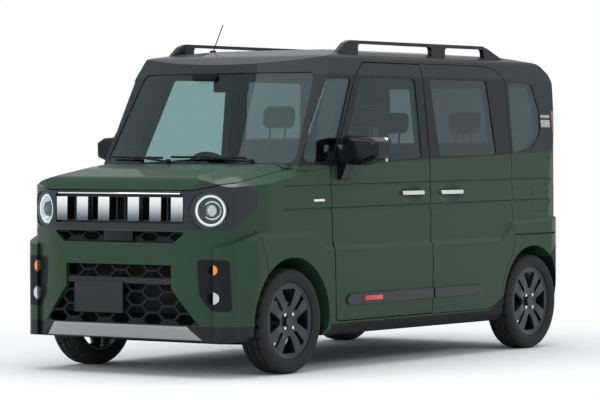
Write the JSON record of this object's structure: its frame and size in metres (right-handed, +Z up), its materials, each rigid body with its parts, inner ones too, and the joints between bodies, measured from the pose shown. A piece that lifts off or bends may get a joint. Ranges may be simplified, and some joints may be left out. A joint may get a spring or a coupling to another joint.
{
  "type": "kei car",
  "caption": "Tall boxy kei car with hinged front doors, sliding rear doors, roof rails, tailgate, bonnet and steered wheels that turn.",
  "frame": {"origin": "on the ground, under the middle of the car", "axes": "+X to the left side of the car, +Y to its rear, +Z up"},
  "size_m": [1.9552, 3.3949, 1.9175],
  "materials": {
    "body_green": "metallic, clear coat",
    "roof_grey": "metallic, clear coat",
    "black_plastic": "moulded, fine grain",
    "dark_chrome": "satin",
    "bright_chrome": "polished",
    "silver_paint": "satin",
    "lamp_lens": "clear",
    "window_glass": "clear, tinted",
    "seat_cloth": "woven",
    "chassis_steel": "black painted",
    "tyre_rubber": "matt",
    "black_wheel": "satin"
  },
  "bodies": {
    "root": {"antenna": "black_plastic", "body_shell": "body_green", "bumper_lamps": "lamp_lens", "bumper_mesh": "black_plastic", "cowl": "black_plastic", "dashboard": "black_plastic", "engine_block": "chassis_steel", "exhaust": "chassis_steel", "fixed_side_glass": "window_glass", "floor_pan": "black_plastic", "front_arms": "chassis_steel", "front_bumper": "body_green", "front_fenders": "body_green", "front_plate": "black_plastic", "front_seats": "seat_cloth", "grille_bars": "bright_chrome", "grille_slats": "black_plastic", "headlamps": "lamp_lens", "lamp_pods": "black_plastic", "lamp_surrounds": "dark_chrome", "rear_axle": "chassis_steel", "rear_bumper": "black_plastic", "rear_seat": "seat_cloth", "roof": "roof_grey", "roof_rails": "dark_chrome", "sill_covers": "black_plastic", "skid_plate": "silver_paint", "sliding_door_left": "body_green", "sliding_door_right": "body_green", "sliding_door_trim": "black_plastic", "tail_lamps": "lamp_lens", "windscreen": "window_glass"},
    "door_left_body": {"door_left": "body_green", "door_glass_left": "window_glass", "mirror_left": "black_plastic", "door_trim_left": "black_plastic"},
    "door_right_body": {"door_right": "body_green", "door_glass_right": "window_glass", "mirror_right": "black_plastic", "door_trim_right": "black_plastic"},
    "tailgate_body": {"tailgate": "body_green", "tailgate_glass": "window_glass"},
    "bonnet_body": {"bonnet": "body_green"},
    "knuckle_left_body": {"knuckle_left": "chassis_steel"},
    "knuckle_right_body": {"knuckle_right": "chassis_steel"},
    "steering_body": {"steering_wheel": "black_plastic"},
    "wheel_front_left": {"tyre_front_left": "tyre_rubber", "rim_front_left": "black_wheel"},
    "wheel_front_right": {"tyre_front_right": "tyre_rubber", "rim_front_right": "black_wheel"},
    "wheel_rear_left": {"tyre_rear_left": "tyre_rubber", "rim_rear_left": "black_wheel"},
    "wheel_rear_right": {"tyre_rear_right": "tyre_rubber", "rim_rear_right": "black_wheel"}
  },
  "joints": [
    {"name": "door_left_hinge", "type": "hinge", "parent": "root", "child": "door_left_body", "pos_m": [0.695, -0.8, 0.7], "axis": [0, 0, -1], "range_deg": [0, 65]},
    {"name": "door_right_hinge", "type": "hinge", "parent": "root", "child": "door_right_body", "pos_m": [-0.695, -0.8, 0.7], "axis": [0, 0, 1], "range_deg": [0, 65]},
    {"name": "tailgate_hinge", "type": "hinge", "parent": "root", "child": "tailgate_body", "pos_m": [0, 1.563, 1.714], "axis": [1, 0, 0], "range_deg": [0, 78]},
    {"name": "bonnet_hinge", "type": "hinge", "parent": "root", "child": "bonnet_body", "pos_m": [0, -1.036, 1.098], "axis": [-1, 0, 0], "range_deg": [0, 52]},
    {"name": "steering", "type": "hinge", "parent": "root", "child": "steering_body", "pos_m": [-0.305, -0.44, 1.01], "axis": [0, 0.8829, 0.4695], "range_deg": [-540, 540]},
    {"name": "steer_left", "type": "hinge", "parent": "root", "child": "knuckle_left_body", "pos_m": [0.575, -1.1255, 0.17], "axis": [-0.1752, 0, 0.9845], "range_deg": [-36, 36]},
    {"name": "steer_right", "type": "hinge", "parent": "root", "child": "knuckle_right_body", "pos_m": [-0.575, -1.1255, 0.17], "axis": [0.1752, 0, 0.9845], "range_deg": [-36, 36]},
    {"name": "spin_front_left", "type": "hinge", "parent": "knuckle_left_body", "child": "wheel_front_left", "pos_m": [0.6475, -1.1255, 0.281], "axis": [1, 0, 0], "continuous": true},
    {"name": "spin_front_right", "type": "hinge", "parent": "knuckle_right_body", "child": "wheel_front_right", "pos_m": [-0.6475, -1.1255, 0.281], "axis": [1, 0, 0], "continuous": true},
    {"name": "spin_rear_left", "type": "hinge", "parent": "root", "child": "wheel_rear_left", "pos_m": [0.65, 1.3345, 0.281], "axis": [1, 0, 0], "continuous": true},
    {"name": "spin_rear_right", "type": "hinge", "parent": "root", "child": "wheel_rear_right", "pos_m": [-0.65, 1.3345, 0.281], "axis": [1, 0, 0], "continuous": true}
  ],
  "couplings": [
    {"joint": "steer_left", "follows": "steering", "ratio": 0.06},
    {"joint": "steer_right", "follows": "steering", "ratio": 0.06}
  ]
}
